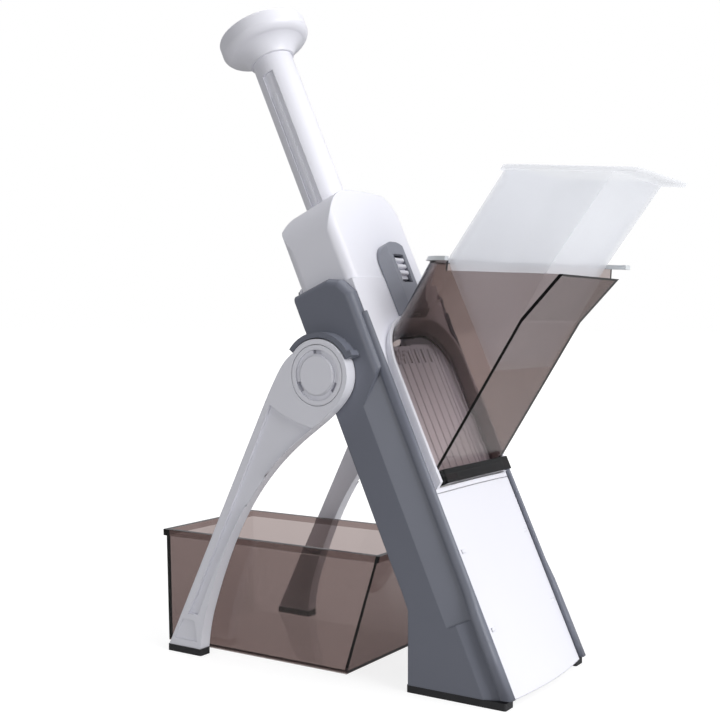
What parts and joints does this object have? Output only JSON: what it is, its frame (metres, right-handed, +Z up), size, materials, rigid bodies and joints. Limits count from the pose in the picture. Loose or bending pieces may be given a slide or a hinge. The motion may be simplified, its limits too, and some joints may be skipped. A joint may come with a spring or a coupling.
{
  "type": "mandoline slicer",
  "caption": "Upright slicer: a sprung plunger drives a blade carriage past a sloping smoked chute with a pusher; folding legs and a catch container behind.",
  "frame": {"origin": "on the table, at the centre of the box round the whole slicer", "axes": "+Z up; -Y is the front, where the chute opens; +X is the slicer's left-to-right width"},
  "size_m": [0.124, 0.309, 0.3995],
  "materials": {
    "white_plastic": "smooth gloss",
    "inner_plastic": "matt acetal",
    "grey_plastic": "satin",
    "black_rubber": "matt",
    "smoked_plastic": "clear, smoked brown",
    "frosted_plastic": "frosted, translucent",
    "pale_trim": "smooth",
    "blade_steel": "ground",
    "spring_steel": "bright"
  },
  "bodies": {
    "frame": {"main_housing": "white_plastic", "front_panel": "white_plastic", "rear_cover": "white_plastic", "cover_screws": "spring_steel", "latch_cover": "grey_plastic", "plunger_bushing": "inner_plastic", "spring_seat": "inner_plastic", "return_spring": "spring_steel", "side_rail_left": "grey_plastic", "side_rail_right": "grey_plastic", "rail_foot_pad_left": "black_rubber", "rail_foot_pad_right": "black_rubber", "guide_channel_left": "inner_plastic", "guide_channel_right": "inner_plastic", "hinge_pin_left": "spring_steel", "hinge_pin_right": "spring_steel", "hinge_cap_left": "white_plastic", "hinge_cap_right": "white_plastic"},
    "plunger": {"push_knob": "white_plastic", "knob_insert": "white_plastic", "plunger_rod": "white_plastic", "carriage_frame": "white_plastic", "deck_plate": "white_plastic", "slicing_blade": "blade_steel", "blade_holder": "inner_plastic", "blade_screws": "spring_steel"},
    "thickness_knob": {"thickness_dial": "grey_plastic"},
    "ramp": {"ramp_plate": "white_plastic"},
    "julienne_knob": {"julienne_dial": "grey_plastic"},
    "comb": {"julienne_comb": "blade_steel"},
    "lock": {"latch_slider": "white_plastic"},
    "left_leg": {"leg_left": "white_plastic", "leg_foot_pad_left": "black_rubber"},
    "right_leg": {"leg_right": "white_plastic", "leg_foot_pad_right": "black_rubber"},
    "chute": {"feed_chute": "smoked_plastic", "chute_rim_trim": "pale_trim"},
    "pusher": {"food_pusher": "frosted_plastic"},
    "container": {"catch_container": "smoked_plastic"}
  },
  "joints": [
    {"name": "plunger_slide", "type": "slide", "parent": "frame", "child": "plunger", "axis": [0, -0.4115, -0.9114], "range_m": [0, 0.097], "stiffness_N_per_m": 60, "springref_m": -0.08, "deforming": ["return_spring"]},
    {"name": "thickness_dial_turn", "type": "hinge", "parent": "plunger", "child": "thickness_knob", "pos_m": [-0.018, -0.00342, 0.12072], "axis": [0, 0.9114, -0.4115], "range_deg": [-80, 180]},
    {"name": "ramp_set", "type": "slide", "parent": "plunger", "child": "ramp", "axis": [0, 0.9114, -0.4115], "range_m": [-0.00237, 0.00534]},
    {"name": "julienne_dial_turn", "type": "hinge", "parent": "plunger", "child": "julienne_knob", "pos_m": [0.018, -0.00342, 0.12072], "axis": [0, 0.9114, -0.4115], "range_deg": [0, 90]},
    {"name": "comb_advance", "type": "slide", "parent": "ramp", "child": "comb", "axis": [0, -0.9114, 0.4115], "range_m": [0, 0.005]},
    {"name": "lock_slide", "type": "slide", "parent": "frame", "child": "lock", "axis": [0, -0.4115, -0.9114], "range_m": [0, 0.0044]},
    {"name": "left_leg_fold", "type": "hinge", "parent": "frame", "child": "left_leg", "pos_m": [-0.057, 0.02386, 0.1728], "axis": [1, 0, 0], "range_deg": [-49, 0]},
    {"name": "right_leg_fold", "type": "hinge", "parent": "frame", "child": "right_leg", "pos_m": [0.057, 0.02386, 0.1728], "axis": [1, 0, 0], "range_deg": [-49, 0]},
    {"name": "chute_release", "type": "slide", "parent": "frame", "child": "chute", "axis": [0, -0.9114, 0.4115], "range_m": [0, 0.06]},
    {"name": "pusher_slide", "type": "slide", "parent": "chute", "child": "pusher", "axis": [0, 0.5255, -0.8508], "range_m": [-0.08, 0.038]},
    {"name": "container_slide", "type": "slide", "parent": "frame", "child": "container", "axis": [0, 1, 0], "range_m": [0, 0.15]}
  ],
  "couplings": [
    {"joint": "thickness_dial_turn", "follows": "ramp_set", "rad_per_m": 588.2},
    {"joint": "julienne_dial_turn", "follows": "comb_advance", "rad_per_m": 314.1}
  ]
}
